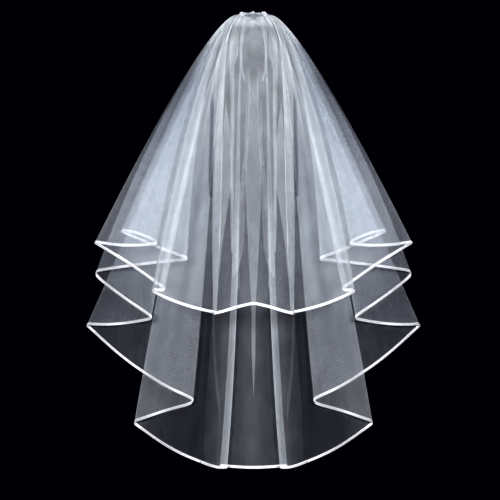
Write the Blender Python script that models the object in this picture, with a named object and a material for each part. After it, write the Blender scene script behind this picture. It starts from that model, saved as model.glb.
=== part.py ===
"""Two-tier bridal veil, as it is worn: one oval of tulle folded across and gathered onto a hair comb,
with a satin ribbon bound over its edge. The wearer faces +Y, so the veil is seen from behind along +Y.
The shorter upper tier lies outside (towards -Y) and the longer lower tier inside it. The origin is in
the middle of the comb's spine, where the hair holds it. Metres, +Z up.
"""

import math

import bpy
import numpy as np

MM = 0.001

# Comb and heading
COMB_WIDTH = 76 * MM
COMB_THICKNESS = 2.6 * MM
SPINE_HEIGHT = 9 * MM
TOOTH_COUNT = 15
TOOTH_LENGTH = 34 * MM
TOOTH_WIDTH = 2.0 * MM
COMB_GAP = 1.8 * MM              # from the middle of the comb to the middle of the nearest net
HEADING_HEIGHT = 3 * MM

# Cloth
CLOTH = 1.0 * MM                 # wall that stands for the net
RIBBON = 1.3 * MM                # satin folded over both faces
RIBBON_WIDTH = 6 * MM
SEAM = 0.3 * MM
FOLD_EASE = 1.6 * MM             # more room above the ribbon where the hem folds back on itself

# Bell that the layers lie on, round the back of a head and then the back
CROWN_DEPTH = 92 * MM            # how far the crown stands off behind the comb
CROWN_TURN = 34 * MM             # drop in which it turns from level to hanging
CROWN_LEAD = 4 * MM              # and how much of that turn it makes while still level
FLARE = 0.085                    # extra depth for each metre of drop
BELL_WIDTH = 430 * MM
BELL_SHOULDER = 40 * MM
BELL_LENGTH = 330 * MM

# Stacking of the layers, one inside the other
ROOT_PITCH = 2.2 * MM            # depth between two layers at the comb
HEM_PITCH = 14.1 * MM            # and far below it
PITCH_LENGTH = 130 * MM
ROOT_LIFT = 14 * MM              # how much higher the outermost layer starts than the innermost
LIFT_LENGTH = 80 * MM
LAST_LAYER = 15.3
NESTING = 0.62                   # share of the pitch lost behind the head, where no side fold comes between
NESTING_WIDTH = 80 * MM
NESTING_FLARE = 0.1              # extra width for each metre of drop
NESTING_LENGTH = 90 * MM

# Gathers that spring from the comb and die out down the cloth
GATHER_WAVES = 5                 # on each half of each tier
GATHER_DEPTH = 2.6 * MM
GATHER_SWELL = 60 * MM           # drop at which they stand out most
CROWN_SPREAD = 53 * MM           # how far the outer ribs leave the comb sideways
CROWN_RISE = 8 * MM
KNEE_DROP = 0.446                # share of the drop at which each rib's knee lies

ROWS = 13
NOSE = 0.40                      # share of a layer turned on each side of a fold's foremost rib
PANEL_STEP = 75 * MM             # hem length between two modelled ribs
ROOT_STEP = 1.6 * MM             # and their distance at the comb
FINE = 100                       # fine samples between two folds

# One row for each fold of the hem on the wearer's left half, from the middle of the upper tier round the
# side to the middle of the lower tier. across and drop are from the comb's middle, layer counts
# how many layers lie outside this one, root is where its rib leaves the comb, knee is how far out the rib
# leans on its way, round is the radius of the turn and sag is how far the hem dips before the next fold.
FOLD_COLUMNS = ("name", "across", "drop", "layer", "root", "knee", "round", "sag")
FOLDS = (
    ("upper_middle", 0, 568, 0.0, 0, 0, 30, 3),
    ("upper_crest", 82, 588, 0.2, 20, 98, 6, 0),
    ("upper_crest_tuck", 68, 587, 1.3, 21.5, 48, 5, 6),
    ("upper_pleat_out", 207, 543, 2.1, 24, 158, 6, 0),
    ("upper_pleat_in", 172, 544, 3.2, 25.5, 110, 6, -4),
    ("upper_wing", 329, 446, 4.1, 27.5, 200, 7, 6),
    ("upper_return", 189, 451, 5.0, 29, 150, 8, -6),
    ("side_peak", 275, 423, 6.0, 30.2, 168, 9, 2),
    ("side_return", 128, 482, 7.2, 31, 118, 8, -2),
    ("lower_wing", 339, 509, 8.4, 31, 232, 20, 2),
    ("lower_return", 202, 602, 9.4, 30, 150, 8, 6),
    ("second_wing", 351, 617, 10.3, 28, 192, 7, 18),
    ("second_return", 109, 766, 11.2, 24, 72, 18, -2),
    ("third_wing", 249, 816, 12.1, 21, 172, 8, 8),
    ("lower_bend", 100, 887, 12.7, 14, 96, 20, 4),
    ("pleat_inner_edge", 49, 891, 13.4, 5, 4, 4, 0),
    ("pleat_outer_edge", 70, 891, 14.5, 9, 26, 4, 0),
    ("lower_middle", 0, 892, 15.3, 0, 0, 20, 0),
)
RIB_COLUMNS = ("across", "drop", "layer", "turned", "root", "knee")
SIDE_SEAM = ("side_peak", 0.3)   # where the upper tier's wall meets the lower's, as a share of the way on
TURN = 7.0                       # how much of each panel's step in depth is made at its two folds
TURN_LENGTH = 20 * MM            # drop in which the panels part from one another


def column(name):
    """One column of the fold table, lengths in metres."""
    values = np.array([row[FOLD_COLUMNS.index(name)] for row in FOLDS], float)
    return values if name == "layer" else values * MM


def seam_fold():
    """Fold number, as a fraction, where the upper tier's wall ends and the lower tier's begins."""
    return [row[0] for row in FOLDS].index(SIDE_SEAM[0]) + SIDE_SEAM[1]


def smooth(values, reach):
    """Each sample averaged twice over the neighbours within its own reach, ends held."""
    for _ in range(2):
        total = np.concatenate([[0], np.cumsum(values)])
        at = np.arange(len(values))
        reach_here = np.minimum(reach, np.minimum(at, len(values) - 1 - at)).astype(int)
        values = (total[at + reach_here + 1] - total[at - reach_here]) / (2 * reach_here + 1)
    return values


def hem_line():
    """The hem of the left half as fine samples of each column, with the fold number as a fraction."""
    number = np.linspace(0, len(FOLDS) - 1, (len(FOLDS) - 1) * FINE + 1)
    here = np.minimum(number.astype(int), len(FOLDS) - 2)
    share = number - here
    middle = 2 * share - 1
    turned = 0.5 + 0.5 * np.sign(middle) * np.abs(middle) ** TURN
    line = {}
    for name in RIB_COLUMNS:
        values = column("layer" if name == "turned" else name)
        way = turned if name == "turned" else share
        line[name] = values[here] + (values[here + 1] - values[here]) * way
    line["drop"] = line["drop"] + column("sag")[here] * np.sin(math.pi * share)
    panel = np.hypot(np.diff(column("across")), np.diff(column("drop")))
    step = panel[here] / FINE
    nearest = np.rint(number).astype(int)
    reach = np.clip(column("round")[nearest] / step, 1, FINE * 0.22)
    for name in RIB_COLUMNS:
        gentle = name in ("layer", "root")
        line[name] = smooth(line[name], FINE // 2 if gentle else reach)
    line["fold"] = number
    return line


def chosen():
    """Sample numbers of the ribs to model: one on each fold, one each side of its nose, a few between."""
    across, drop, layer, root = column("across"), column("drop"), column("layer"), column("root")
    wanted = [seam_fold(), len(FOLDS) - 1]
    for here in range(len(FOLDS) - 1):
        panel = math.hypot(across[here + 1] - across[here], drop[here + 1] - drop[here])
        part = min(NOSE / (layer[here + 1] - layer[here]), 0.45)
        nose = 0.5 * (1 - (1 - 2 * part) ** (1 / TURN))
        parts = max(1, round(panel / PANEL_STEP), round(abs(root[here + 1] - root[here]) / ROOT_STEP))
        wanted += [here, *np.linspace(here + nose, here + 1 - nose, parts + 1)]
    return np.array(sorted({round(float(number) * FINE) for number in wanted}))


def rib(across, drop, layer, turned, root, knee, t):
    """Where the cloth is on its way from the comb (t 0) to the hem (t 1), on the left half."""
    spread = CROWN_SPREAD * (1 - np.exp(-root / (6 * MM)))
    weights = ((1 - t) ** 3, 3 * t * (1 - t) ** 2, 3 * t * t * (1 - t), t ** 3)
    x = sum(w * end for w, end in zip(weights, (root, root + spread, knee, across)))
    d = sum(w * end for w, end in zip(weights, (0, -CROWN_RISE, drop * KNEE_DROP, drop)))
    fallen = np.maximum(d, 0) + CROWN_LEAD * (1 - np.exp(-t / 0.05))
    width = BELL_WIDTH * (1 - np.exp(-(fallen + BELL_SHOULDER) / BELL_LENGTH))
    bell = CROWN_DEPTH * (1 - np.exp(-fallen / CROWN_TURN)) + FLARE * fallen
    pitch = ROOT_PITCH + (HEM_PITCH - ROOT_PITCH) * (1 - np.exp(-fallen / PITCH_LENGTH))
    behind_head = np.exp(-(x / (NESTING_WIDTH + NESTING_FLARE * fallen)) ** 2)
    nested = NESTING * (1 - np.exp(-fallen / NESTING_LENGTH)) * behind_head
    gathered = np.sin(2 * math.pi * GATHER_WAVES * root / (31 * MM))
    outside = np.clip(np.abs(layer / LAST_LAYER - 0.5) * 2 - 0.6, 0, 0.4) / 0.4
    swell = (0.5 + fallen / GATHER_SWELL) * np.exp(-fallen / GATHER_SWELL)
    wave = GATHER_DEPTH * gathered * outside * swell
    order = layer + (turned - layer) * (1 - np.exp(-fallen / TURN_LENGTH))
    y = order * pitch * (1 - nested) - bell * np.cos(math.pi / 2 * np.minimum(x / width, 1)) - wave
    lift = ROOT_LIFT * (1 - (layer / LAST_LAYER) ** 4) * np.exp(-fallen / LIFT_LENGTH)
    z = lift - d + wave * np.exp(-fallen / GATHER_SWELL)
    return np.stack([-x, y - ROOT_PITCH * LAST_LAYER - COMB_GAP, z], -1)


def ribs(line, samples, t):
    """Points where these ribs have gone the share t of their way."""
    pick = {name: line[name][samples] for name in RIB_COLUMNS}
    return rib(t=t, **pick)


def up_from_hem(line, samples, width):
    """The share of each rib that lies this far above the hem, measured square to the hem."""
    end = ribs(line, slice(None), 1.0)
    down = (end - ribs(line, slice(None), 0.98)) / 0.02
    speed = np.linalg.norm(down, axis=1)
    along = np.gradient(end, axis=0)
    square = np.linalg.norm(np.cross(down, along), axis=1) / (speed * np.linalg.norm(along, axis=1))
    square = smooth(np.maximum(square, 0.6), FINE // 8)
    return 1 - width / (speed * square)[samples]


def unit(vectors):
    return vectors / np.linalg.norm(vectors, axis=-1, keepdims=True)


def sheet(line, samples, shares):
    """Points and unit normals [row][column] of the left half, at these shares of each rib."""
    points, normals = [], []
    for share in shares:
        row = ribs(line, samples, share)
        down = unit(ribs(line, samples, share + 0.004) - ribs(line, samples, share - 0.004))
        steps = np.diff(row, axis=0)
        before, after = np.concatenate([steps[:1], steps]), np.concatenate([steps, steps[-1:]])
        along = 0
        for step in (before, after):
            along = along + unit(step - down * (step * down).sum(1, keepdims=True))
        normal = np.cross(along, down)
        normal[np.abs(row[:, 0]) < 1e-9, 0] = 0
        points.append(row)
        normals.append(unit(normal))
    return points, normals


def both_sides(rows, middle_first):
    """Left half rows made whole by their mirror image, running on through the middle."""
    whole = []
    for row in rows:
        mirrored = row * np.array([-1, 1, 1])
        whole.append(np.concatenate([mirrored[:0:-1], row] if middle_first else [row, mirrored[-2::-1]]))
    return np.array(whole)


def material(name, colour, roughness, metallic=0.0):
    made = bpy.data.materials.new(name)
    made.use_nodes = True
    shader = made.node_tree.nodes["Principled BSDF"]
    shader.inputs["Base Color"].default_value = (*colour, 1)
    shader.inputs["Roughness"].default_value = roughness
    shader.inputs["Metallic"].default_value = metallic
    return made


def add_object(name, points, faces, look, collection):
    mesh = bpy.data.meshes.new(name)
    mesh.from_pydata([tuple(p) for p in points], [], faces)
    mesh.update()
    mesh.shade_smooth()
    mesh.materials.append(look)
    made = bpy.data.objects.new(name, mesh)
    collection.objects.link(made)
    return made


def cloth_wall(name, points, normals, thickness, look, collection):
    """A closed wall of even thickness over a grid of points, half of it to each side."""
    count_down, count = points.shape[:2]
    front = points + normals * thickness / 2
    back = points - normals * thickness / 2
    half = count_down * count
    faces = []
    for i in range(count_down - 1):
        for j in range(count - 1):
            at = i * count + j
            falling = np.linalg.norm(points[i, j] - points[i + 1, j + 1])
            rising = np.linalg.norm(points[i, j + 1] - points[i + 1, j])
            a, b, c, d = (at, at + 1, at + count + 1, at + count)
            pair = ((a, b, c), (a, c, d)) if falling < rising else ((a, b, d), (b, c, d))
            faces += pair
            faces += [tuple(half + k for k in reversed(face)) for face in pair]
    top = range(count)
    right = range(count - 1, half, count)
    bottom = range(half - 2, half - count - 1, -1)
    border = [*top, *list(right)[1:], *bottom, *range(half - 2 * count, 0, -count)]
    for at, after in zip(border, border[1:] + border[:1]):
        if after > at:
            faces += [(after, at, half + after), (at, half + at, half + after)]
        else:
            faces += [(after, at, half + at), (after, half + at, half + after)]
    both = np.concatenate([front.reshape(-1, 3), back.reshape(-1, 3)])
    return add_object(name, both, faces, look, collection)


def draw_in(rows, at_start):
    """Rows with their first or last point moved half a seam's gap towards the next one."""
    rows = np.array(rows)
    edge, inner = (0, 1) if at_start else (-1, -2)
    rows[:, edge] += unit(rows[:, inner] - rows[:, edge]) * SEAM / 2
    return rows


def tiers(line, look, satin, collection):
    """Both tiers and the ribbon along their edge, which share the same ribs."""
    samples = chosen()
    cut = int(np.flatnonzero(samples == round(seam_fold() * FINE))[0])
    to_fold = np.abs(samples / FINE - np.rint(samples / FINE))
    ease = FOLD_EASE * np.clip(1 - to_fold / 0.15, 0, 1)
    lower_edge = up_from_hem(line, samples, RIBBON_WIDTH + SEAM + ease)
    cloth = [lower_edge * (k / ROWS) ** 1.35 for k in range(ROWS + 1)]
    edge = [up_from_hem(line, samples, RIBBON_WIDTH), np.ones(len(samples))]
    for suffix, shares, thickness, finish in (("", cloth, CLOTH, look), ("_ribbon", edge, RIBBON, satin)):
        points, normals = (np.array(rows) for rows in sheet(line, samples, shares))
        upper, lower = slice(0, cut + 1), slice(cut, None)
        for tier, part, middle_first in (("upper_tier", upper, True), ("lower_tier", lower, False)):
            half = draw_in(points[:, part], not middle_first)
            whole = both_sides(half, middle_first), both_sides(normals[:, part], middle_first)
            cloth_wall(tier + suffix, *whole, thickness, finish, collection)


def root_ring(line):
    """The closed line on which all ribs start, from the middle of the upper tier round by the left."""
    left = ribs(line, chosen(), 0.0)
    right = left[1:-1][::-1] * np.array([-1, 1, 1])
    return np.concatenate([left, right])


def heading(line, look, collection):
    """The bunched net above the gathering stitches, as one low ridge that follows the gathers."""
    ring = root_ring(line)
    middle = ring.mean(0)
    levels = ((0.84, CLOTH / 2 + SEAM + 0.8 * MM), (0.88, 0.6 * HEADING_HEIGHT), (0.74, HEADING_HEIGHT))
    rows = []
    for size, height in levels:
        rows.append(middle + (ring - middle) * np.array([size, size, 1]) + np.array([0, 0, height]))
    count = len(ring)
    top_middle = rows[-1].mean(0)[None] + np.array([0, 0, 0.5 * MM])
    points = np.concatenate([*rows, rows[0].mean(0)[None], top_middle])
    faces = []
    for i in range(len(levels) - 1):
        for j in range(count):
            k = (j + 1) % count
            faces.append((i * count + k, i * count + j, (i + 1) * count + j, (i + 1) * count + k))
    floor, roof = len(points) - 2, len(points) - 1
    top = (len(levels) - 1) * count
    for j in range(count):
        k = (j + 1) % count
        faces.append((j, k, floor))
        faces.append((top + k, top + j, roof))
    return add_object("heading", points, faces, look, collection)


def comb(look, collection):
    """A flat comb: a spine with teeth that point down into the hair."""
    pitch = (COMB_WIDTH - TOOTH_WIDTH) / (TOOTH_COUNT - 1)
    half_spine, tip = SPINE_HEIGHT / 2, -SPINE_HEIGHT / 2 - TOOTH_LENGTH
    outline = [(COMB_WIDTH / 2, half_spine - 2 * MM), (COMB_WIDTH / 2 - 2 * MM, half_spine)]
    outline += [(-x, z) for x, z in reversed(outline)]
    for number in range(TOOTH_COUNT):
        left = -COMB_WIDTH / 2 + number * pitch
        right = left + TOOTH_WIDTH
        narrow = TOOTH_WIDTH * 0.25
        if number:
            outline.append((left, -half_spine))
        outline += [(left, tip + 3 * MM), (left + narrow, tip)]
        outline += [(right - narrow, tip), (right, tip + 3 * MM)]
        if number < TOOTH_COUNT - 1:
            outline.append((right, -half_spine))
    curve = bpy.data.curves.new("comb", "CURVE")
    curve.dimensions = "2D"
    curve.fill_mode = "BOTH"
    curve.extrude = COMB_THICKNESS / 2
    line = curve.splines.new("POLY")
    line.points.add(len(outline) - 1)
    for point, (x, z) in zip(line.points, outline):
        point.co = (x, z, 0, 1)
    line.use_cyclic_u = True
    curve.materials.append(look)
    made = bpy.data.objects.new("comb", curve)
    made.rotation_euler = (math.radians(90), 0, 0)
    collection.objects.link(made)
    return made


def main():
    for old in list(bpy.data.objects):
        bpy.data.objects.remove(old)
    veil = bpy.data.collections.new("bridal_veil")
    bpy.context.scene.collection.children.link(veil)
    net = material("tulle", (0.93, 0.95, 0.97), 0.75)
    satin = material("satin_ribbon", (0.97, 0.97, 0.98), 0.35)
    plastic = material("comb_plastic", (0.86, 0.88, 0.88), 0.25)
    line = hem_line()
    tiers(line, net, satin, veil)
    heading(line, net, veil)
    comb(plastic, veil)


main()
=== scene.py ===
# %% [markdown]
# # Two-tier bridal veil
# The real veil is one oval of soft bobbin net. It is folded across, the middle of the fold is drawn up on a
# thread and sewn to a hair comb, and a satin ribbon is folded over the whole edge. This lesson builds it the
# same way: first the ribs along which the net falls, then the net, the ribbon, the heading and the comb.
# Lengths are in metres, the wearer faces +Y, and the camera looks at the wearer's back.

# %% Tools
import math

import bpy
import numpy as np
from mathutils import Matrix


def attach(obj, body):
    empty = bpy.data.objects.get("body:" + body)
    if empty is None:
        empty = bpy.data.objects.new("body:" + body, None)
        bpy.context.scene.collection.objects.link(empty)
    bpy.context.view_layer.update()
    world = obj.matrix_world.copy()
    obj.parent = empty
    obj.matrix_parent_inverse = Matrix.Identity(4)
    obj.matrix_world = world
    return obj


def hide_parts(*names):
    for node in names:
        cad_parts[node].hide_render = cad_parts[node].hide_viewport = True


MM = 0.001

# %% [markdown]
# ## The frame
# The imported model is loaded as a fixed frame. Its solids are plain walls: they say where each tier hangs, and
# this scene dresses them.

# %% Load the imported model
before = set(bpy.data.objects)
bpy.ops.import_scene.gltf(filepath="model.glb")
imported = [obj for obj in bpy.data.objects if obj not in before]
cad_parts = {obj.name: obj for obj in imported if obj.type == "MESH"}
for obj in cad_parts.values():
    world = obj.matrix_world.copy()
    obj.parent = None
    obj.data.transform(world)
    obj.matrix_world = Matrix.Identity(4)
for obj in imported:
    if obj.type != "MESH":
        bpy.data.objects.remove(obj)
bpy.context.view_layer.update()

# %% [markdown]
# ## Camera
# The picture was taken from far behind the wearer and level with the middle of the veil, so the hem lines
# stay true. A long lens 4 metres away gives that view. The aim is 7 mm off the veil's middle, as in the
# picture.

# %% Camera
VIEW_DISTANCE, VIEW_WIDTH = 4.0, 1.0                 # one metre of veil fills the picture
VIEW_MIDDLE = (-0.007, -0.06, -0.4612)
SENSOR = 36
camera_data = bpy.data.cameras.new("camera")
camera_data.sensor_width = SENSOR
camera_data.lens = SENSOR * VIEW_DISTANCE / VIEW_WIDTH
camera = bpy.data.objects.new("camera", camera_data)
camera.location = (VIEW_MIDDLE[0], VIEW_MIDDLE[1] - VIEW_DISTANCE, VIEW_MIDDLE[2])
camera.rotation_euler = (math.radians(90), 0, 0)
bpy.context.scene.collection.objects.link(camera)
bpy.context.scene.camera = camera

# %% [markdown]
# ## Light
# Net only shows by the light that its threads catch, so the veil hangs before darkness and big soft lights
# stand round it. Two equal ones in front keep the halves alike, one above models the crown, and two behind
# light the wearer's side.
# Rays pass many layers of net, so more see-through hits are allowed than usual. Light that glossy plastic
# throws on the net would come out as single white dots, so it is left out. With the gamma below, the grey of
# the net grows evenly with the number of layers, as it does in the picture.

# %% Darkness, soft lights and how colours are shown
scene = bpy.context.scene
scene.world = scene.world or bpy.data.worlds.new("darkness")
scene.world.use_nodes = True
scene.world.node_tree.nodes["Background"].inputs["Color"].default_value = (0.006, 0.002, 0.021, 1)
scene.cycles.transparent_max_bounces = 48
scene.cycles.caustics_reflective = False
scene.view_settings.view_transform = "Standard"
scene.view_settings.gamma = 0.46

LIGHT_AIM = 0.45                                     # all lights aim this far under the comb
LIGHTS = (                                           # name, place, size, watts
    ("front_left", (-2.3, -3.6, 0.5), 1.6, 116),
    ("front_right", (2.3, -3.6, 0.5), 1.6, 116),
    ("above", (0.0, -1.2, 2.0), 1.2, 30),
    ("back_left", (-1.7, 3.0, 0.7), 1.4, 72),
    ("back_right", (1.7, 3.0, 0.7), 1.4, 72),
)
for name, place, size, watts in LIGHTS:
    light_data = bpy.data.lights.new(name, "AREA")
    light_data.shape = "DISK"
    light_data.size = size
    light_data.energy = watts
    light = bpy.data.objects.new(name, light_data)
    light.location = place
    aim = -light.location
    aim.z -= LIGHT_AIM
    light.rotation_euler = aim.to_track_quat("-Z", "Y").to_euler()
    light.visible_camera = False
    scene.collection.objects.link(light)
print("lights:", len(LIGHTS), "with", sum(row[3] for row in LIGHTS), "watts")


# %% [markdown]
# ## Helpers for meshes and materials
# Every form here is a grid of points, so one function joins grids with faces, and another makes the object. A
# material is a Principled shader with a few nodes in front of it, and a short helper keeps those lines brief.

# %% Mesh helpers
def grid_faces(count_down, count, around=False, first=0):
    """Four-sided faces between the points of a grid, closed round each row if asked."""
    faces = []
    for i in range(count_down - 1):
        for j in range(count if around else count - 1):
            k = (j + 1) % count
            upper = first + i * count
            lower = upper + count
            faces.append((upper + j, lower + j, lower + k, upper + k))
    return faces


def closing_faces(last, first, count):
    """Faces that join the last row of a tube to its first row."""
    return [(last + j, first + j, first + (j + 1) % count, last + (j + 1) % count) for j in range(count)]


def add_piece(name, points, faces, look, slot, smooth=True):
    """An object with these points and faces, which rides on the veil if it has a slot."""
    mesh = bpy.data.meshes.new(name)
    mesh.from_pydata(np.asarray(points, float).reshape(-1, 3).tolist(), [], faces)
    mesh.update()
    if smooth:
        mesh.shade_smooth()
    mesh.materials.append(look)
    piece = bpy.data.objects.new(name, mesh)
    bpy.context.scene.collection.objects.link(piece)
    if slot:
        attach(piece, "root")
    print(name, "has", len(mesh.vertices), "points and", sum(len(face) - 2 for face in faces), "triangles")
    return piece


def unit(vectors):
    """The same directions with length 1."""
    return vectors / np.maximum(np.linalg.norm(vectors, axis=-1, keepdims=True), 1e-12)


# %% Material helpers
class Finish:
    """A Principled material with short ways to add the nodes in front of it."""

    def __init__(self, name, colour, roughness, **settings):
        self.material = bpy.data.materials.new(name)
        self.material.use_nodes = True
        self.tree = self.material.node_tree
        self.shader = self.tree.nodes["Principled BSDF"]
        self.shader.inputs["Base Color"].default_value = (*colour, 1)
        self.shader.inputs["Roughness"].default_value = roughness
        for socket, value in settings.items():
            self.shader.inputs[socket.replace("_", " ").title().replace("Ior", "IOR")].default_value = value

    def put(self, socket, value):
        """Join an output to an input, or set the input to a plain value."""
        if isinstance(value, bpy.types.NodeSocket):
            self.tree.links.new(value, socket)
        else:
            socket.default_value = value

    def node(self, kind, output=0, inputs=(), **settings):
        made = self.tree.nodes.new("ShaderNode" + kind)
        for setting, value in settings.items():
            setattr(made, setting, value)
        for socket, value in dict(inputs).items():
            self.put(made.inputs[socket], value)
        return made.outputs[output]

    def maths(self, operation, *values, clamp=False):
        return self.node("Math", 0, enumerate(values), operation=operation, use_clamp=clamp)

    def vector(self, operation, first, second, output=0):
        return self.node("VectorMath", output, {0: first, 1: second}, operation=operation)

    def ramp(self, value, low, high, start=0.0, end=1.0):
        """The value taken smoothly from low to high into start to end."""
        inputs = {"Value": value, "From Min": low, "From Max": high, "To Min": start, "To Max": end}
        return self.node("MapRange", 0, inputs, interpolation_type="SMOOTHSTEP")

    def product(self, first, *others):
        for value in others:
            first = self.maths("MULTIPLY", first, value)
        return first

    def mix(self, share, first, second):
        """Two colours mixed by the share of the second."""
        inputs = {0: share, 6: first, 7: second}
        return self.node("Mix", 2, inputs, data_type="RGBA")

    def bump(self, height, depth, strength=0.5):
        """Small relief of this depth in metres."""
        made = self.node("Bump", 0, {"Strength": strength, "Distance": depth, "Height": height})
        self.put(self.shader.inputs["Normal"], made)


# %% [markdown]
# ## The floor
# A pale floor lies where the wearer would stand. It is a low disc, so that no wall of backdrop cuts off the
# view from any side, and it is not attached to the veil.

# %% Floor
FLOOR_LEVEL, FLOOR_RADIUS, FLOOR_SIDES = -1.65, 1.7, 96
plaster = Finish("pale_floor", (0.62, 0.62, 0.61), 0.8, specular_ior_level=0.2)
speckle = plaster.node("TexNoise", 0, {"Scale": 30.0, "Detail": 4.0})
plaster_colour = plaster.mix(speckle, (0.57, 0.57, 0.56, 1), (0.66, 0.66, 0.65, 1))
plaster.put(plaster.shader.inputs["Base Color"], plaster_colour)
plaster.bump(speckle, 0.002, 0.2)
angles = np.linspace(0, 2 * math.pi, FLOOR_SIDES, endpoint=False)
level = np.full(FLOOR_SIDES, FLOOR_LEVEL)
rim = np.stack([FLOOR_RADIUS * np.cos(angles), FLOOR_RADIUS * np.sin(angles), level], -1)
floor = add_piece("floor", rim, [tuple(range(FLOOR_SIDES))], plaster.material, None, smooth=False)

# %% [markdown]
# ## How the net falls
# The net leaves the comb as a fan of ribs, and each rib bends over the crown and hangs to the hem. If the
# hem's zigzag of folds is known, everything between follows from it. So one table holds a row for each fold
# of the left half, from the middle of the upper tier, round the side, to the middle of the lower tier.
# Cloth simulation could hang such a veil too, but its folds would fall by chance and never repeat those of
# the picture.

# %% Sizes of the fall
COMB_GAP = 1.8 * MM                                  # comb to the nearest net
CROWN_DEPTH, CROWN_TURN, CROWN_LEAD = 92 * MM, 34 * MM, 4 * MM
FLARE, BELL_WIDTH, BELL_SHOULDER, BELL_LENGTH = 0.085, 430 * MM, 40 * MM, 330 * MM
ROOT_PITCH, HEM_PITCH, PITCH_LENGTH = 2.2 * MM, 14.1 * MM, 130 * MM
ROOT_LIFT, LIFT_LENGTH, LAST_LAYER = 14 * MM, 80 * MM, 15.3
NESTING, NESTING_WIDTH, NESTING_FLARE, NESTING_LENGTH = 0.62, 80 * MM, 0.1, 90 * MM
GATHER_WAVES, GATHER_DEPTH, GATHER_SWELL = 5, 2.6 * MM, 60 * MM
CROWN_SPREAD, CROWN_RISE, KNEE_DROP = 53 * MM, 8 * MM, 0.446
HALF_GATHER = 31 * MM                                # half of the gathered width at the comb
TURN, TURN_LENGTH = 7.0, 20 * MM
SPREAD_LENGTH, LEAD_SHARE, FULL_WAVE_PITCH = 6 * MM, 0.05, 9 * MM
MIDDLE_ARCH = 7 * MM                                 # rounds the hem of the upper tier at the middle
FINE = 200                                           # samples between two folds

# %% Folds of the hem
FOLD_COLUMNS = ("name", "across", "drop", "layer", "root", "knee", "round", "sag")
FOLDS = (
    ("upper_middle", 0, 568, 0.0, 0, 0, 30, 3),
    ("upper_crest", 82, 588, 0.2, 20, 98, 6, 0),
    ("upper_crest_tuck", 68, 587, 1.3, 21.5, 48, 5, 6),
    ("upper_pleat_out", 207, 543, 2.1, 24, 158, 6, 0),
    ("upper_pleat_in", 172, 544, 3.2, 25.5, 110, 6, -4),
    ("upper_wing", 329, 446, 4.1, 27.5, 200, 7, 6),
    ("upper_return", 189, 451, 5.0, 29, 150, 8, -6),
    ("side_peak", 275, 423, 6.0, 30.2, 168, 9, 2),
    ("side_return", 128, 482, 7.2, 31, 118, 8, -2),
    ("lower_wing", 339, 509, 8.4, 31, 232, 20, 2),
    ("lower_return", 202, 602, 9.4, 30, 150, 8, 6),
    ("second_wing", 351, 617, 10.3, 28, 192, 7, 18),
    ("second_return", 109, 766, 11.2, 24, 72, 18, -2),
    ("third_wing", 249, 816, 12.1, 21, 172, 8, 8),
    ("lower_bend", 100, 887, 12.7, 14, 96, 20, 4),
    ("pleat_inner_edge", 49, 891, 13.4, 5, 4, 4, 0),
    ("pleat_outer_edge", 70, 891, 14.5, 9, 26, 4, 0),
    ("lower_middle", 0, 892, 15.3, 0, 0, 20, 0),
)
RIB_COLUMNS = ("across", "drop", "layer", "turned", "root", "knee")
SIDE_FOLD = 7.3                                      # fold number where the upper tier passes into the lower


def column(name):
    """One column of the fold table, lengths in metres."""
    values = np.array([row[FOLD_COLUMNS.index(name)] for row in FOLDS], float)
    return values if name == "layer" else values * MM


# %% The hem as fine samples
def smooth(values, reach):
    """Each sample averaged twice over the neighbours within its own reach, ends held."""
    for _ in range(2):
        total = np.concatenate([[0], np.cumsum(values)])
        at = np.arange(len(values))
        reach_here = np.minimum(reach, np.minimum(at, len(values) - 1 - at)).astype(int)
        values = (total[at + reach_here + 1] - total[at - reach_here]) / (2 * reach_here + 1)
    return values


def hem_line():
    """The hem of the left half as fine samples of each column, with the fold number as a fraction."""
    number = np.linspace(0, len(FOLDS) - 1, (len(FOLDS) - 1) * FINE + 1)
    here = np.minimum(number.astype(int), len(FOLDS) - 2)
    share = number - here
    middle = 2 * share - 1
    turned = 0.5 + 0.5 * np.sign(middle) * np.abs(middle) ** TURN
    line = {}
    for name in RIB_COLUMNS:
        values = column("layer" if name == "turned" else name)
        way = turned if name == "turned" else share
        line[name] = values[here] + (values[here + 1] - values[here]) * way
    line["drop"] = line["drop"] + column("sag")[here] * np.sin(math.pi * share)
    line["drop"] = line["drop"] - MIDDLE_ARCH * np.sin(math.pi * share) * (1 - share) * (here == 0)
    panel = np.hypot(np.diff(column("across")), np.diff(column("drop")))
    step = panel[here] / FINE
    nearest = np.rint(number).astype(int)
    reach = np.clip(column("round")[nearest] / step, 1, FINE * 0.22)
    for name in RIB_COLUMNS:
        gentle = name in ("layer", "root")
        line[name] = smooth(line[name], FINE // 2 if gentle else reach)
    line["fold"] = number
    return line


HEM = hem_line()
print("hem samples on each half:", len(HEM["fold"]))


# %% [markdown]
# ## Soft waves in the net
# Net is springy, so between its folds it never lies flat: it keeps long soft waves that spring from the
# gathers and follow the ribs. Each family of waves below has its own length, height and place where it is
# strongest, and a slow wander keeps its waves uneven. They are added to the depth of each rib.

# %% Families of soft waves
# Each row: length along the hem in mm, height in mm, share of a rib where it is strongest, wander, start.
WAVES = (
    (128, 3.2, 1.00, 0.9, 0.4),
    (71, 1.9, 0.62, 1.7, 1.9),
    (43, 1.1, 0.40, 2.6, 4.1),
)
WANDER_TURNS, SWELL_REACH, SWELL_START = 3.7, 0.33, 0.12


def soft_waves(cloth, t):
    """Depth of the soft waves at this length along the hem (metres) and this share of a rib."""
    depth = 0
    for length, height, strongest, wander, start in WAVES:
        turns = cloth / (length * MM)
        phase = 2 * math.pi * turns + wander * np.sin(2 * math.pi * turns / WANDER_TURNS + start) + start
        swell = np.exp(-((t - strongest) / SWELL_REACH) ** 2) * np.minimum(1, t / SWELL_START) ** 2
        depth = depth + height * MM * swell * np.sin(phase)
    return depth


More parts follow.
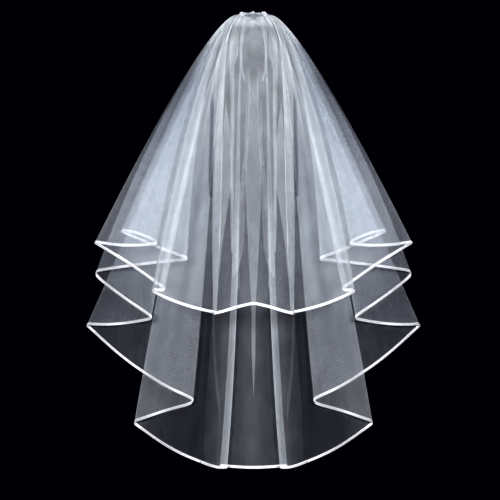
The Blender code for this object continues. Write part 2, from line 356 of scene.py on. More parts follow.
# %% Where a rib is
def rib(across, drop, layer, turned, root, knee, cloth, t):
    """Where the net is on its way from the comb (t 0) to the hem (t 1), on the left half."""
    spread = CROWN_SPREAD * (1 - np.exp(-root / SPREAD_LENGTH))
    weights = ((1 - t) ** 3, 3 * t * (1 - t) ** 2, 3 * t * t * (1 - t), t ** 3)
    x = sum(w * end for w, end in zip(weights, (root, root + spread, knee, across)))
    d = sum(w * end for w, end in zip(weights, (0, -CROWN_RISE, drop * KNEE_DROP, drop)))
    fallen = np.maximum(d, 0) + CROWN_LEAD * (1 - np.exp(-t / LEAD_SHARE))
    width = BELL_WIDTH * (1 - np.exp(-(fallen + BELL_SHOULDER) / BELL_LENGTH))
    bell = CROWN_DEPTH * (1 - np.exp(-fallen / CROWN_TURN)) + FLARE * fallen
    pitch = ROOT_PITCH + (HEM_PITCH - ROOT_PITCH) * (1 - np.exp(-fallen / PITCH_LENGTH))
    nest_width = NESTING_WIDTH + NESTING_FLARE * fallen
    nested = NESTING * (1 - np.exp(-fallen / NESTING_LENGTH)) * np.exp(-(x / nest_width) ** 2)
    gathered = np.sin(2 * math.pi * GATHER_WAVES * root / HALF_GATHER)
    outside = np.clip(np.abs(layer / LAST_LAYER - 0.5) * 2 - 0.6, 0, 0.4) / 0.4
    wave = GATHER_DEPTH * gathered * outside * (0.5 + fallen / GATHER_SWELL) * np.exp(-fallen / GATHER_SWELL)
    order = layer + (turned - layer) * (1 - np.exp(-fallen / TURN_LENGTH))
    y = order * pitch * (1 - nested) - bell * np.cos(math.pi / 2 * np.minimum(x / width, 1)) - wave
    y = y + soft_waves(cloth, t) * np.minimum(1, pitch * (1 - nested) / FULL_WAVE_PITCH)
    lift = ROOT_LIFT * (1 - (layer / LAST_LAYER) ** 4) * np.exp(-fallen / LIFT_LENGTH)
    z = lift - d + wave * np.exp(-fallen / GATHER_SWELL)
    return np.stack([-x, y - ROOT_PITCH * LAST_LAYER - COMB_GAP, z], -1)


HEM["cloth"] = np.zeros(len(HEM["fold"]))
plain_edge = rib(t=1.0, **{name: HEM[name] for name in (*RIB_COLUMNS, "cloth")})
HEM["cloth"] = np.concatenate([[0], np.cumsum(np.linalg.norm(np.diff(plain_edge, axis=0), axis=1))])
print("length of the hem:", round(2 * HEM["cloth"][-1], 3), "m")


def ribs(samples, t):
    """Points where these ribs have gone the share t of their way."""
    return rib(t=t, **{name: HEM[name][samples] for name in (*RIB_COLUMNS, "cloth")})


# %% [markdown]
# ## Which ribs to draw
# Even steps along the hem would draw the small round noses of the folds as corners. The steps below are
# shorter where the hem turns: a turn of one radian counts as much as 20 mm of straight hem.

# %% Choose the ribs
RIBS_EACH_HALF, TURN_COUNTS_AS = 430, 20 * MM


def chosen_ribs(count):
    """Sample numbers of about this many ribs of the left half, from middle to middle."""
    edge = ribs(slice(None), 1.0)
    step = np.diff(edge, axis=0)
    direction = unit(step)
    bend = np.arccos(np.clip((direction[1:] * direction[:-1]).sum(1), -1, 1))
    worth = np.linalg.norm(step, axis=1) + TURN_COUNTS_AS * np.concatenate([[0], bend])
    way = np.concatenate([[0], np.cumsum(worth)])
    samples = np.searchsorted(way, np.linspace(0, way[-1], count))
    return np.unique(np.concatenate([np.minimum(samples, len(way) - 1), [0, len(way) - 1]]))


COLUMNS = chosen_ribs(RIBS_EACH_HALF)
print("ribs drawn on each half:", len(COLUMNS))


# %% [markdown]
# ## The flat cut
# The net was an oval before it was gathered. If the place of every point on that oval is known, it serves as
# a map for the weave in true size. The oval is 1.45 m wide, folded 0.60 m from one end and 0.90 m from the
# other, and 0.50 m of the fold is drawn up on the comb.

# %% The oval
CUT_WIDTH, UPPER_LENGTH, LOWER_LENGTH, DRAWN_UP = 1.45, 0.60, 0.90, 0.50


def oval_edge(share):
    """Point of the oval's left edge at this share of its length, from the upper end to the lower."""
    angle = np.linspace(0, math.pi, 721)
    middle = (UPPER_LENGTH - LOWER_LENGTH) / 2
    half_length = (UPPER_LENGTH + LOWER_LENGTH) / 2
    points = np.stack([CUT_WIDTH / 2 * np.sin(angle), middle + half_length * np.cos(angle)], -1)
    way = np.concatenate([[0], np.cumsum(np.linalg.norm(np.diff(points, axis=0), axis=1))])
    return np.stack([np.interp(share * way[-1], way, points[:, axis]) for axis in (0, 1)], -1)


def flat_place(samples, t):
    """Where this point of the net lay on the flat oval, in metres."""
    edge = oval_edge(HEM["cloth"][samples] / HEM["cloth"][-1])
    fold = np.stack([DRAWN_UP / 2 * HEM["root"][samples] / HALF_GATHER, np.zeros(len(edge))], -1)
    return fold * (1 - t) + edge * t


# %% [markdown]
# ## The net
# Both tiers are one sheet of about 430 ribs a half and 96 rows, so the net runs unbroken from tier to tier as
# the real one does. It is a single open surface: a wall of two surfaces would show every layer twice. Its
# rows lie closer together near the comb, where the net bends most.

# %% Make the sheet of net
ROWS, ROW_CROWDING = 96, 1.3
shares = (np.arange(ROWS + 1) / ROWS) ** ROW_CROWDING


def whole_ring(left, flip):
    """A row of the left half with its mirror image, as one closed ring."""
    return np.concatenate([left, left[-2:0:-1] * np.array(flip)])


net_rows = np.array([whole_ring(ribs(COLUMNS, t), (-1, 1, 1)) for t in shares])
flat_rows = np.array([whole_ring(flat_place(COLUMNS, t), (-1, 1)) for t in shares])
ring = net_rows.shape[1]
print("net:", net_rows.shape[0], "rows of", ring)


# %% [markdown]
# ## How full the net is at each point
# Fullness says how many plain layers the net counts for where it hangs: about 1 over most of the veil, 4 at
# the comb, where the gathers draw it together, and less than 1 at the outer edge of the crown, where it is
# pulled thin. It could be measured from the flat cut, but the gathers don't spread evenly: they stay in the
# middle of the back. So a table says it for each fold of the hem, at six depths under the comb. Its values
# also hold painted light and shade: they were matched to how bright each panel shows, so they are higher on
# deep panels that the front layers shade and lower where the lights fall full on the net.
# The small folds of the gathers are finer than the mesh, so they are told as fullness too, in streaks that
# follow the ribs and die out down the veil. A fold's nose is seen edge-on, where threads lie behind each
# other, and shows as a brighter line. That line is a painted highlight: the ribs next to each nose count as
# fuller, so it stays on the net seen from any side.

# %% Table of fullness, with painted light and shade
FULLNESS_DROPS = (0.0, 0.02, 0.05, 0.12, 0.33, 0.55)  # metres under the comb
# Fullness and painted light: each value counts layers of net, and also brightens shaded panels and dims fully
# lit ones.
FULLNESS_AND_LIGHT = {
    "upper_middle": (4.0, 1.5, 1.8, 1.45, 1.25, 0.9),
    "upper_crest": (3.8, 2.3, 2.8, 2.2, 1.35, 1.2),
    "upper_crest_tuck": (4.4, 3.0, 2.5, 1.7, 1.2, 1.2),
    "upper_pleat_out": (4.5, 3.1, 2.1, 1.7, 1.4, 1.45),
    "upper_pleat_in": (4.8, 3.0, 1.75, 1.25, 1.75, 1.55),
    "upper_wing": (3.4, 2.1, 0.7, 0.42, 1.05, 1.15),
    "upper_return": (4.0, 2.7, 1.3, 0.85, 1.3, 1.2),
    "side_peak": (3.4, 2.3, 0.75, 0.42, 0.82, 1.05),
    "side_return": (4.6, 3.2, 1.6, 1.0, 1.45, 1.15),
    "lower_wing": (3.4, 2.1, 0.7, 0.42, 0.9, 1.1),
    "lower_return": (4.9, 3.25, 1.8, 1.2, 1.25, 1.15),
    "second_wing": (3.3, 2.75, 1.5, 1.1, 1.1, 0.9),
    "second_return": (4.2, 3.25, 2.2, 1.75, 1.25, 1.4),
    "third_wing": (4.2, 2.7, 2.1, 1.7, 1.35, 1.35),
    "lower_bend": (3.6, 2.1, 2.4, 2.0, 1.1, 0.6),
    "pleat_inner_edge": (2.8, 1.5, 1.3, 0.8, 0.6, 1.8),
    "pleat_outer_edge": (2.8, 1.5, 1.3, 0.8, 0.6, 0.95),
    "lower_middle": (4.0, 1.5, 1.4, 0.9, 0.7, 1.5),
}


def blurred(values, times):
    """Each value averaged with its neighbours in the row, this many times."""
    for _ in range(times):
        values = (np.roll(values, 1, 1) + 2 * values + np.roll(values, -1, 1)) / 4
    return values


def mirror(row):
    """A row of values of the left half with its mirror image, as one closed ring."""
    return np.concatenate([row, row[-2:0:-1]])


fold_number = HEM["fold"][COLUMNS]
at_drops = [mirror(np.interp(fold_number, range(len(FOLDS)), row)) for row in zip(*FULLNESS_AND_LIGHT.values())]
at_drops = np.array(at_drops)
below_comb = np.clip(-net_rows[..., 2], 0, FULLNESS_DROPS[-1])
fullness_and_light = np.empty(below_comb.shape)
for rib_number in range(ring):
    fullness_and_light[:, rib_number] = np.interp(below_comb[:, rib_number], FULLNESS_DROPS, at_drops[:, rib_number])
fullness_and_light = blurred(fullness_and_light, 3)

# %% Streaks, and painted highlights along the fold noses
STREAKS = (                                          # count, strength, reach as a share of a rib, start
    (23, 0.13, 0.75, 0.3),
    (41, 0.12, 0.42, 2.2),
    (67, 0.12, 0.24, 1.1),
    (113, 0.12, 0.14, 5.0),
)
STREAK_WANDER, WANDER_PACE = 2.2, 5.3


def streaks(cloth_share, t):
    """Light and dark lines of the gathers, along the ribs."""
    total = 0
    for count, strength, reach, start in STREAKS:
        wander = STREAK_WANDER * np.sin(WANDER_PACE * math.pi * cloth_share + start)
        phase = math.pi * count * cloth_share + wander + start
        total = total + strength * np.exp(-(t / reach) ** 2) * np.sin(phase) ** 3
    return total


# Painted highlight along each fold's nose: the net is made fuller there, so the nose shows brighter.
NOSE_HIGHLIGHT_WIDTH, NOSE_HIGHLIGHT_STRENGTH, NOSE_HIGHLIGHT_FROM = 5.72 * MM, 0.42, 0.6
cloth_share = HEM["cloth"][COLUMNS] / HEM["cloth"][-1]
fold_cloth = HEM["cloth"][np.arange(len(FOLDS)) * FINE]
to_fold = np.abs(HEM["cloth"][COLUMNS][:, None] - fold_cloth[None, 1:-1]).min(1)
nose_highlight = np.exp(-(to_fold / NOSE_HIGHLIGHT_WIDTH) ** 2)
for row, t in enumerate(shares):
    fullness_and_light[row] *= 1 + mirror(streaks(cloth_share, t))
    fullness_and_light[row] *= 1 + NOSE_HIGHLIGHT_STRENGTH * mirror(nose_highlight) * min(1, t / NOSE_HIGHLIGHT_FROM) ** 1.5
print("fullness from", round(float(fullness_and_light.min()), 2), "to", round(float(fullness_and_light.max()), 2))

# %% [markdown]
# ## Small lying pleats
# A few narrow pleats lie flat in the middle of the back and run out before the hem: there the net is doubled.
# The far side of each pleat gets a painted highlight line, and one row is a painted highlight along a fold.
# They are too fine for the mesh, so the material adds them between two lines, in the veil's own sizes. Each
# row says which tier it is on, how much fuller the net is there, and then how far down each point lies and
# where the pleat's two sides are to the left of the middle. The right half is the mirror. In a gap between
# two folds the row takes fullness away, so the net there is darker: this is painted shade.

# %% Table of lying pleats
LOWER, UPPER = 0, 1
# Each row: tier, extra fullness, and points with their drop, near side and far side in mm.
PLEATS = {
    "middle_tuck": (LOWER, 1.5, (
        (120, -9, 9), (230, -9, 11), (290, -9, 15), (373, -9, 14), (473, -9, 9.3), (582, -9, 4),
        (676, -9, 3), (783, -9, -2),
    )),
    "inner_lay": (UPPER, 0.8, (
        (110, 7, 41), (165, 8, 42), (250, 11, 43), (373, 16, 43), (473, 23, 42), (505, 33, 42),
        (520, 42, 42),
    )),
    "crest_lay": (UPPER, 1.3, (
        (170, 54, 55), (230, 46, 59), (275, 43, 62), (325, 43, 63), (373, 50, 64), (452, 61, 67),
        (500, 66, 67), (520, 68, 68),
    )),
    "fan_fold": (UPPER, 0.9, (
        (10, 14, 21), (30, 17, 24), (49, 21, 27), (69, 22, 27.5), (89, 21, 26.5), (108, 20, 24.5),
        (128, 17, 19.5), (136, 17, 17),
    )),
    "dome_crest": (UPPER, 0.7, (
        (28, 46, 54), (45, 54, 62), (70, 60, 69), (90, 63, 72.5), (130, 67, 75.5), (170, 70, 77.5),
        (230, 74, 79), (260, 78, 79),
    )),
    # Painted highlight: a bright strip along a fold on the upper tier, drawn as extra fullness.
    "fold_highlight": (UPPER, 1.3, (
        (40, 30, 46), (70, 30, 47), (100, 37, 47), (130, 38, 46), (230, 38, 45), (300, 39, 45),
        (400, 39, 45), (470, 41, 43),
    )),
    "inner_line": (UPPER, 0.5, (
        (180, 10, 16), (206, 10.5, 16.5), (255, 11, 17), (304, 15, 22), (363, 20, 29),
        (422, 26, 34), (471, 27, 34), (540, 27, 32),
    )),
    # Painted shade: the net is made thinner, and so darker, in the gap between two folds on each tier.
    "upper_gap_shade": (UPPER, -0.6, (
        (150, 80, 84), (167, 79, 85.5), (206, 79.5, 86.5), (255, 80.5, 88), (300, 81.5, 89),
        (360, 84, 88),
    )),
    "lower_gap_shade": (LOWER, -0.6, (
        (150, 80, 84), (167, 79, 85.5), (206, 79.5, 86.5), (255, 80.5, 88), (300, 81.5, 89),
        (360, 84, 88),
    )),
    "bend_panel": (LOWER, 0.35, (
        (580, 47, 82), (620, 49, 84), (700, 53, 90), (800, 60, 97), (900, 67, 99),
    )),
    "faint_crease": (LOWER, 0.5, (
        (560, 78, 82), (676, 75, 79), (776, 66, 70), (800, 66, 66),
    )),
}


# %% [markdown]
# ## Tulle
# Tulle is bobbin net: fine white threads round six-sided holes about 1.6 mm across. From a step away the
# threads blur into a veil that hides a little of what is behind it, so Alpha carries the look. For one plain
# layer it is small, and drawing the net together multiplies the layers: what passes is the plain share to the
# power of the fullness. Three crossed waves make the six-sided net, in true size by the flat map. Thin net
# looks a little bluer than dense net, so the colour goes by the fullness too.

# %% Tulle material
PLAIN_COVER = 0.155                                  # share of the view that one plain layer hides
HOLE = 1.6 * MM
NET_SHEEN = {"specular_ior_level": 0.15, "sheen_weight": 0.12, "sheen_roughness": 0.5}
tulle = Finish("tulle", (0.90, 0.94, 1.0), 0.7, **NET_SHEEN)
flat_map = tulle.node("UVMap", 0, uv_map="flat_cut")
full = tulle.node("Attribute", "Fac", attribute_name="fullness_and_light")
tier = tulle.node("Attribute", "Fac", attribute_name="upper")
place = tulle.node("TexCoord", "Object")
axes = tulle.tree.nodes.new("ShaderNodeSeparateXYZ")
tulle.put(axes.inputs[0], place)
beside = tulle.maths("ABSOLUTE", axes.outputs["X"])
below = tulle.maths("DIVIDE", axes.outputs["Z"], -1.0)


def pleat_side(finish, lines, side):
    """Distance of a pleat's side from the middle, by how far down it is."""
    curve = finish.tree.nodes.new("ShaderNodeFloatCurve")
    points = curve.mapping.curves[0].points
    values = [(row[0] * MM, 0.5 + row[side] * MM) for row in lines]
    points[0].location, points[1].location = values[0], values[-1]
    for value in values[1:-1]:
        points.new(*value)
    for point in points:
        point.handle_type = "AUTO_CLAMPED"
    curve.mapping.update()
    finish.put(curve.inputs["Value"], below)
    return finish.maths("SUBTRACT", curve.outputs[0], 0.5)


SOFT_EDGE, SOFT_START, SOFT_END = 1.2 * MM, 20 * MM, 10 * MM
# Painted highlight: the far side of each pleat is made fuller, so it shows as a bright line.
PLEAT_HIGHLIGHT_WIDTH, PLEAT_HIGHLIGHT_GAIN = 1.6 * MM, 1.6                # the far side of a pleat shows as a line
for tier_wanted, extra, lines in PLEATS.values():
    near, far = (pleat_side(tulle, lines, side) for side in (1, 2))
    past_near = tulle.ramp(tulle.maths("SUBTRACT", beside, near), -SOFT_EDGE, SOFT_EDGE)
    before_far = tulle.ramp(tulle.maths("SUBTRACT", far, beside), -SOFT_EDGE, SOFT_EDGE)
    first_drop, last_drop = lines[0][0] * MM, lines[-1][0] * MM
    started = tulle.ramp(below, first_drop - SOFT_START, first_drop + SOFT_START)
    ended = tulle.ramp(below, last_drop - SOFT_END, last_drop, 1.0, 0.0)
    here = tier if tier_wanted == UPPER else tulle.maths("SUBTRACT", 1.0, tier)
    from_far = tulle.maths("ABSOLUTE", tulle.maths("SUBTRACT", far, beside))
    edge_highlight = tulle.ramp(from_far, 0.0, PLEAT_HIGHLIGHT_WIDTH, PLEAT_HIGHLIGHT_GAIN, 1.0)
    added = tulle.product(past_near, before_far, started, ended, here, extra, edge_highlight)
    full = tulle.maths("ADD", full, added)

net_wave = []
wave_pace = 4 * math.pi / (math.sqrt(3) * HOLE)
for turn in (0, 60, 120):
    direction = (math.cos(math.radians(turn)), math.sin(math.radians(turn)), 0)
    along = tulle.vector("DOT_PRODUCT", flat_map, direction, "Value")
    net_wave.append(tulle.maths("COSINE", tulle.maths("MULTIPLY", along, wave_pace)))
threads = tulle.maths("ADD", tulle.maths("ADD", net_wave[0], net_wave[1]), net_wave[2])
thread = tulle.ramp(threads, -1.4, 0.6, 1.7, 0.68)
cloudy = tulle.node("TexNoise", 0, {"Vector": flat_map, "Scale": 26.0, "Detail": 3.0})
cover = tulle.product(full, thread, tulle.ramp(cloudy, 0.3, 0.7, 0.9, 1.1))
passed = tulle.maths("POWER", 1 - PLAIN_COVER, cover)
tulle.put(tulle.shader.inputs["Alpha"], tulle.maths("SUBTRACT", 1.0, passed, clamp=True))
dense = tulle.ramp(full, 0.8, 1.6)
net_colour = tulle.mix(dense, (0.893, 0.943, 1.0, 1), (0.94, 0.972, 0.995, 1))
tulle.put(tulle.shader.inputs["Base Color"], net_colour)
tulle.bump(thread, 0.0002, 0.3)

# %% Put the net together
net = add_piece("net", net_rows, grid_faces(ROWS + 1, ring, around=True), tulle.material, "tulle")
flat_points = flat_rows.reshape(-1, 2)
corner_point = np.empty(len(net.data.loops), int)
net.data.loops.foreach_get("vertex_index", corner_point)
flat_layer = net.data.uv_layers.new(name="flat_cut")
flat_layer.data.foreach_set("uv", flat_points[corner_point].ravel())
on_upper_tier = np.tile(mirror((fold_number < SIDE_FOLD) * 1.0), (ROWS + 1, 1))
for name, values in (("fullness_and_light", fullness_and_light), ("upper", on_upper_tier)):
    told = net.data.attributes.new(name, "FLOAT", "POINT")
    told.data.foreach_set("value", values.ravel().astype(np.float32))
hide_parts("upper_tier", "lower_tier")

# %% [markdown]
# ## The satin ribbon
# A 6 mm satin ribbon is folded over the raw edge of the net and sewn through, so a band of it shows on both
# sides. It could be a flat strip pushed off the net, but a real binding is thicker at its fold and pulls in
# at its stitches, so a closed outline is swept along the hem: face, fold, face. One ribbon goes right round.

# %% Sweep the binding
# Each row is a point of the outline: height above the hem and distance to the outside, in mm.
BINDING = (
    (6.0, 0.22), (5.2, 0.50), (4.4, 0.34), (3.0, 0.62), (1.2, 0.62), (0.1, 0.42), (-0.25, 0.0),
    (0.1, -0.42), (1.2, -0.62), (3.0, -0.62), (4.4, -0.34), (5.2, -0.50), (6.0, -0.22),
)


def above_hem(samples, width):
    """The share of each rib that lies this far above the hem, measured square to the hem."""
    end = ribs(slice(None), 1.0)
    down = (end - ribs(slice(None), 0.98)) / 0.02
    speed = np.linalg.norm(down, axis=1)
    along = np.gradient(end, axis=0)
    square = np.linalg.norm(np.cross(down, along), axis=1) / (speed * np.linalg.norm(along, axis=1))
    square = smooth(np.maximum(square, 0.6), FINE // 8)
    return 1 - width / (speed * square)[samples]


def outward(samples, t):
    """Unit normals of the net there, away from the wearer on the outermost panel."""
    down = unit(ribs(samples, t + 0.004) - ribs(samples, t - 0.004))
    row = ribs(samples, t)
    steps = np.diff(row, axis=0)
    along = 0
    for step in (np.concatenate([steps[:1], steps]), np.concatenate([steps, steps[-1:]])):
        along = along + unit(step - down * (step * down).sum(1, keepdims=True))
    normal = np.cross(along, down)
    normal[np.abs(row[:, 0]) < 1e-9, 0] = 0
    return unit(normal)


edge_columns = chosen_ribs(760)
ribbon_rings = []
for height, off in BINDING:
    t = above_hem(edge_columns, height * MM)
    place_on_net = ribs(edge_columns, t)
    ribbon_rings.append(whole_ring(place_on_net + outward(edge_columns, t) * off * MM, (-1, 1, 1)))
ribbon_rings = np.array(ribbon_rings)
outline, around = ribbon_rings.shape[:2]
ribbon_faces = grid_faces(outline, around, around=True)
ribbon_faces += closing_faces((outline - 1) * around, 0, around)

# %% [markdown]
# ## Satin
# Satin has long threads lying one way, so its shine runs across the ribbon. It gets a fine rib along its
# length, a little noise in its gloss, some anisotropic shine and a soft sheen.

# %% Satin material
SATIN_SHINE = {"specular_ior_level": 0.55, "sheen_weight": 0.35, "anisotropic": 0.4}
satin = Finish("satin_ribbon", (0.97, 0.975, 0.99), 0.34, **SATIN_SHINE)
ribbon_map = satin.node("UVMap", 0, uv_map="ribbon_length")
weave_inputs = {"Vector": ribbon_map, "Scale": 900.0, "Distortion": 1.5, "Detail": 2.0}
weave = satin.node("TexWave", "Fac", weave_inputs, bands_direction="Y")
creasing = satin.node("TexNoise", 0, {"Vector": ribbon_map, "Scale": 120.0, "Detail": 3.0})
satin.put(satin.shader.inputs["Roughness"], satin.ramp(creasing, 0.3, 0.7, 0.28, 0.42))
satin_colour = satin.mix(creasing, (0.95, 0.96, 0.985, 1), (0.99, 0.99, 1.0, 1))
satin.put(satin.shader.inputs["Base Color"], satin_colour)
satin.bump(satin.maths("ADD", weave, creasing), 0.00015, 0.4)
ribbon = add_piece("ribbon_edge", ribbon_rings, ribbon_faces, satin.material, "satin_ribbon")
edge_length = np.linalg.norm(np.roll(ribbon_rings[3], -1, 0) - ribbon_rings[3], axis=1)
edge_way = np.concatenate([[0], np.cumsum(edge_length)[:-1]])
ribbon_flat = np.stack([np.tile(edge_way, outline), np.repeat([row[0] * MM for row in BINDING], around)], -1)
corner_point = np.empty(len(ribbon.data.loops), int)
ribbon.data.loops.foreach_get("vertex_index", corner_point)
ribbon.data.uv_layers.new(name="ribbon_length").data.foreach_set("uv", ribbon_flat[corner_point].ravel())
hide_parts("upper_tier_ribbon", "lower_tier_ribbon")
print("ribbon:", round(float(edge_length.sum()), 2), "m long")

# %% [markdown]
# ## Stitches along the ribbon
# One row of stitches holds both faces of the ribbon. Each is a short round thread, thickest in its middle,
# that dips into the satin at its ends. They are small, but they are what tells sewn ribbon from painted line.

# %% Sew the ribbon
STITCH_PITCH, STITCH_LENGTH, THREAD = 3.0 * MM, 2.2 * MM, 0.36 * MM
STITCH_ABOVE_HEM, STITCH_SIDES = 4.4 * MM, 5
# Each point of a stitch: share of its length, share of its thickness.
STITCH_SHAPE = ((0.0, 0.35), (0.25, 0.9), (0.5, 1.0), (0.75, 0.9), (1.0, 0.35))


def stitch_row(path, out, pitch, length, thickness):
    """Points and faces of stitches that lie along a path, raised along out."""
    way = np.concatenate([[0], np.cumsum(np.linalg.norm(np.diff(path, axis=0), axis=1))])
    points, faces = [], []
    for start in np.arange(0.3 * pitch, way[-1] - length, pitch):
        rings = []
        for part, fat in STITCH_SHAPE:
            at = start + part * length
            middle = np.array([np.interp(at, way, path[:, axis]) for axis in range(3)])
            up = unit(np.array([np.interp(at, way, out[:, axis]) for axis in range(3)]))
            ahead = np.array([np.interp(at + 0.3 * MM, way, path[:, axis]) for axis in range(3)])
            side = unit(np.cross(ahead - middle, up) + 1e-12)
            angle = 2 * math.pi * np.arange(STITCH_SIDES) / STITCH_SIDES
            rise = up * (thickness * (0.15 + 0.35 * math.sin(math.pi * part)))
            turn = np.outer(np.cos(angle), side) + np.outer(np.sin(angle), up)
            rings.append(middle + rise + turn * thickness / 2 * fat)
        first = len(points)
        points += list(np.concatenate(rings))
        last = first + (len(STITCH_SHAPE) - 1) * STITCH_SIDES
        faces += grid_faces(len(STITCH_SHAPE), STITCH_SIDES, around=True, first=first)
        faces.append(tuple(first + k for k in range(STITCH_SIDES)))
        faces.append(tuple(last + k for k in reversed(range(STITCH_SIDES))))
    return points, faces


cotton = Finish("sewing_thread", (0.96, 0.96, 0.97), 0.55, specular_ior_level=0.3, sheen_weight=0.3)
twist_inputs = {"Vector": cotton.node("TexCoord", "Object"), "Scale": 700.0, "Distortion": 1.0}
twist = cotton.node("TexWave", "Fac", twist_inputs, bands_direction="DIAGONAL")
cotton_colour = cotton.mix(twist, (0.90, 0.90, 0.92, 1), (0.98, 0.98, 0.99, 1))
cotton.put(cotton.shader.inputs["Base Color"], cotton_colour)
cotton.bump(twist, 0.0001, 0.5)

t_stitch = above_hem(edge_columns, STITCH_ABOVE_HEM)
stitch_path = ribs(edge_columns, t_stitch)
stitch_out = outward(edge_columns, t_stitch)
points, faces = [], []
for side in (1, -1):
    for flip in (1, -1):
        mirrored = np.array([flip, 1, 1])
        path = (stitch_path + stitch_out * side * THREAD) * mirrored
        more, joined = stitch_row(path, stitch_out * side * mirrored, STITCH_PITCH, STITCH_LENGTH, THREAD)
        faces += [tuple(k + len(points) for k in face) for face in joined]
        points += more
ribbon_stitches = add_piece("ribbon_stitches", points, faces, cotton.material, "satin_ribbon")

# %% [markdown]
# ## The heading
# Above the gathering thread a few millimetres of net stand up in a tight ruff of small loops. Pushing single
# loops into place would be slow. A ring with many uneven waves gives the same look: the loops lean in and out
# and their tops are not level. Three of them stand higher, one in the middle and one near each end.

# %% Ruff of the heading
RUFF_LOOPS, RUFF_RINGS, RUFF_COLUMNS = 38, 7, 600
RUFF_HEIGHT, TALL_LOOP, TALL_LOOP_WIDTH = 2.7 * MM, 2.6 * MM, 5 * MM
TALL_LOOPS = (-26 * MM, 0, 26 * MM)
root_ring = whole_ring(ribs(COLUMNS, 0.0), (-1, 1, 1))
ring_way = np.concatenate([[0], np.cumsum(np.linalg.norm(np.roll(root_ring, -1, 0) - root_ring, axis=1))])
closed_ring = np.concatenate([root_ring, root_ring[:1]])
even = np.linspace(0, ring_way[-1], RUFF_COLUMNS, endpoint=False)
base = np.stack([np.interp(even, ring_way, closed_ring[:, axis]) for axis in range(3)], -1)
ruff_middle = base.mean(0)
ruff = []
angle = 2 * math.pi * np.arange(RUFF_COLUMNS) / RUFF_COLUMNS
uneven = angle + 0.05 * np.sin(3 * angle) + 0.03 * np.sin(7 * angle + 1)
for level in range(RUFF_RINGS):
    part = level / (RUFF_RINGS - 1)
    inward = unit((ruff_middle - base) * np.array([1, 1, 0]))
    loops = np.sin(RUFF_LOOPS * uneven) * (0.35 + 0.75 * part) * MM
    taller = 1 + 0.25 * np.sin(5 * angle + 0.6) + 0.2 * np.sin(9 * angle)
    tall = sum(np.exp(-((base[:, 0] - middle) / TALL_LOOP_WIDTH) ** 2) for middle in TALL_LOOPS)
    height = 0.3 * MM + part * (RUFF_HEIGHT * taller + TALL_LOOP * tall)
    lean = (2.4 + 1.4 * part) * MM + loops
    ruff.append(base + inward * lean[:, None] + np.array([0, 0, 1]) * height[:, None])
ruff = np.array(ruff)

ruffled = Finish("gathered_net", (0.93, 0.95, 1.0), 0.7, **NET_SHEEN)
ruff_place = ruffled.node("TexCoord", "Object")
ruff_noise = ruffled.node("TexNoise", 0, {"Vector": ruff_place, "Scale": 900.0, "Detail": 3.0})
ruffled.put(ruffled.shader.inputs["Alpha"], ruffled.ramp(ruff_noise, 0.3, 0.7, 0.5, 0.85))
ruffled.bump(ruff_noise, 0.0003, 0.4)
ruff_faces = grid_faces(RUFF_RINGS, RUFF_COLUMNS, around=True)
heading = add_piece("gathered_heading", ruff, ruff_faces, ruffled.material, "tulle")
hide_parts("heading")

# %% Gathering thread
# Two rows of running stitches: height above the root of the net and distance to the outside, in mm.
THREAD_ROWS = ((1.0, -2.0), (2.4, -2.4))
GATHER_PITCH, GATHER_STITCH, GATHER_THREAD = 2.6 * MM, 1.7 * MM, 0.4 * MM
thread_points, thread_faces = [], []
out_of_ring = unit((base - ruff_middle) * np.array([1, 1, 0]))
for height, off in THREAD_ROWS:
    path = base + out_of_ring * off * MM + np.array([0, 0, height * MM])
    more, joined = stitch_row(path, out_of_ring, GATHER_PITCH, GATHER_STITCH, GATHER_THREAD)
    thread_faces += [tuple(k + len(thread_points) for k in face) for face in joined]
    thread_points += more

# %% [markdown]
# ## Comb and whipping
# The comb is a plain hair comb of clear plastic, so it hardly shows behind the net. Its solid is right as it
# is and only gets its finish: glossy, a little uneven and nearly see-through. Whipping stitches go round its
# spine between the teeth and hold the gathers to it, each a loop of thread.

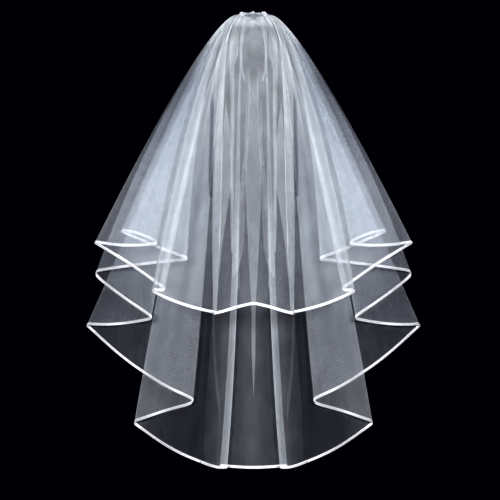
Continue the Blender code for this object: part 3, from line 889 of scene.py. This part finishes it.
# %% Comb finish
comb_look = Finish("comb_plastic", (0.86, 0.89, 0.92), 0.2, specular_ior_level=0.5, coat_weight=0.25)
comb_place = comb_look.node("TexCoord", "Object")
flow = comb_look.node("TexNoise", 0, {"Vector": comb_place, "Scale": 140.0, "Detail": 3.0})
comb_look.put(comb_look.shader.inputs["Roughness"], comb_look.ramp(flow, 0.3, 0.7, 0.14, 0.28))
comb_colour = comb_look.mix(flow, (0.82, 0.86, 0.89, 1), (0.90, 0.92, 0.94, 1))
comb_look.put(comb_look.shader.inputs["Base Color"], comb_colour)
comb_look.put(comb_look.shader.inputs["Alpha"], comb_look.ramp(flow, 0.3, 0.7, 0.08, 0.15))
comb_look.bump(flow, 0.0002, 0.2)
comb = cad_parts["comb"]
comb.data.materials.clear()
comb.data.materials.append(comb_look.material)

# %% Whip the gathers to the comb
WHIP_COUNT, WHIP_HALF_WIDTH, WHIP_SIDES, WHIP_STEPS = 14, 31 * MM, 5, 20
SPINE_HALF_DEPTH, SPINE_HALF_HEIGHT, SPINE_MIDDLE = 1.9 * MM, 5.0 * MM, 0.3 * MM
WHIP_LEAN, WHIP_THREAD = 0.9 * MM, 0.3 * MM
for number in range(WHIP_COUNT):
    x = -WHIP_HALF_WIDTH + 2 * WHIP_HALF_WIDTH * (number + 0.5) / WHIP_COUNT
    rings = []
    for step in range(WHIP_STEPS):
        turn = 2 * math.pi * step / WHIP_STEPS
        depth = SPINE_HALF_DEPTH * math.cos(turn)
        height = SPINE_HALF_HEIGHT * math.sin(turn) + SPINE_MIDDLE
        middle = np.array([x + WHIP_LEAN * math.sin(turn), depth, height])
        out = unit(np.array([0, math.cos(turn) / SPINE_HALF_DEPTH, math.sin(turn) / SPINE_HALF_HEIGHT]))
        angle = 2 * math.pi * np.arange(WHIP_SIDES) / WHIP_SIDES
        ring_shape = np.outer(np.cos(angle), out) + np.outer(np.sin(angle), [1, 0, 0])
        rings.append(middle + WHIP_THREAD / 2 * ring_shape)
    first = len(thread_points)
    thread_points += list(np.concatenate(rings))
    thread_faces += grid_faces(WHIP_STEPS, WHIP_SIDES, around=True, first=first)
    thread_faces += closing_faces(first + (WHIP_STEPS - 1) * WHIP_SIDES, first, WHIP_SIDES)
heading_thread = add_piece("heading_thread", thread_points, thread_faces, cotton.material, "satin_ribbon")
